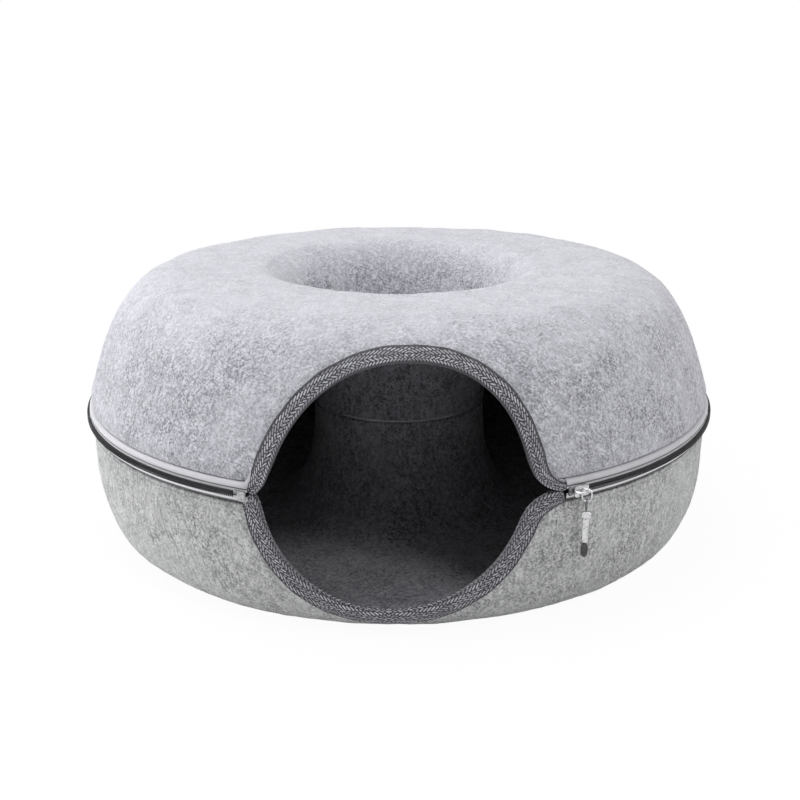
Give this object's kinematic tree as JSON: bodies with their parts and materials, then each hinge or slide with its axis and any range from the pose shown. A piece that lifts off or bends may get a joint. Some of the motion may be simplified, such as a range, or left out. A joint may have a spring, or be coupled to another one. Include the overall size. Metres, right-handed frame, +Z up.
{
  "type": "donut cat tunnel",
  "caption": "Ring-shaped felt cat tunnel in two zipped halves, with a bound round entrance through the front and a hole through the middle.",
  "frame": {"origin": "middle of the whole outline, on the surface that the tunnel stands on", "axes": "+Z up, -Y out of the entrance, +X to the right of someone who faces the entrance"},
  "size_m": [0.5, 0.4893, 0.203],
  "materials": {
    "felt": "light grey melange felt with a short fuzz",
    "webbing": "charcoal herringbone webbing",
    "zip_tape": "pale grey woven zip tape",
    "zip_coil": "dark nylon zip coil",
    "zip_metal": "satin silver plate on zinc",
    "grip": "dark moulded grip"
  },
  "bodies": {
    "lower_half": {"lower_shell": "felt", "lower_arch_binding": "webbing", "outer_zip_lower_tape": "zip_tape", "outer_zip_lower_coil": "zip_coil", "outer_zip_lower_stop": "zip_metal", "outer_zip_box": "zip_metal", "inner_zip_lower_tape": "zip_tape", "inner_zip_lower_coil": "zip_coil", "inner_zip_lower_stop": "zip_metal", "inner_zip_box": "zip_metal"},
    "upper_half": {"upper_shell": "felt", "upper_arch_binding": "webbing", "outer_zip_upper_tape": "zip_tape", "outer_zip_upper_coil": "zip_coil", "outer_zip_upper_stop": "zip_metal", "outer_zip_pin": "zip_metal", "inner_zip_upper_tape": "zip_tape", "inner_zip_upper_coil": "zip_coil", "inner_zip_upper_stop": "zip_metal", "inner_zip_pin": "zip_metal"},
    "outer_slider": {"outer_slider": "zip_metal"},
    "outer_pull_loop": {"outer_pull_loop": "zip_metal"},
    "outer_pull": {"outer_pull_link": "zip_metal", "outer_pull_collar": "zip_metal", "outer_pull_bar": "zip_metal", "outer_pull_grip": "grip"},
    "inner_slider": {"inner_slider": "zip_metal"},
    "inner_pull": {"inner_pull_loop": "zip_metal", "inner_pull_tab": "zip_metal"}
  },
  "joints": [
    {"name": "upper_half_lift", "type": "slide", "parent": "lower_half", "child": "upper_half", "axis": [0, 0, 1], "range_m": [0, 0.12], "deforming": ["outer_zip_upper_coil", "outer_zip_lower_coil", "inner_zip_upper_coil", "inner_zip_lower_coil"]},
    {"name": "outer_slider_travel", "type": "hinge", "parent": "lower_half", "child": "outer_slider", "pos_m": [0, -0.00521, 0.098], "axis": [0, 0, 1], "range_deg": [0, 306.4], "deforming": ["outer_zip_upper_coil", "outer_zip_lower_coil"]},
    {"name": "outer_pull_loop_swing", "type": "hinge", "parent": "outer_slider", "child": "outer_pull_loop", "pos_m": [0.12054, -0.22948, 0.098], "axis": [-0.8845, -0.4665, 0], "range_deg": [-3, 85]},
    {"name": "outer_pull_swing", "type": "hinge", "parent": "outer_pull_loop", "child": "outer_pull", "pos_m": [0.12054, -0.22948, 0.0917], "axis": [-0.9842, 0.177, 0], "range_deg": [-5, 75]},
    {"name": "inner_slider_travel", "type": "hinge", "parent": "lower_half", "child": "inner_slider", "pos_m": [0, -0.00521, 0.092], "axis": [0, 0, 1], "range_deg": [-341, 0], "deforming": ["inner_zip_upper_coil", "inner_zip_lower_coil"]},
    {"name": "inner_pull_swing", "type": "hinge", "parent": "inner_slider", "child": "inner_pull", "pos_m": [0.00761, 0.05023, 0.092], "axis": [-0.9907, 0.1359, 0], "range_deg": [-5, 90]}
  ]
}
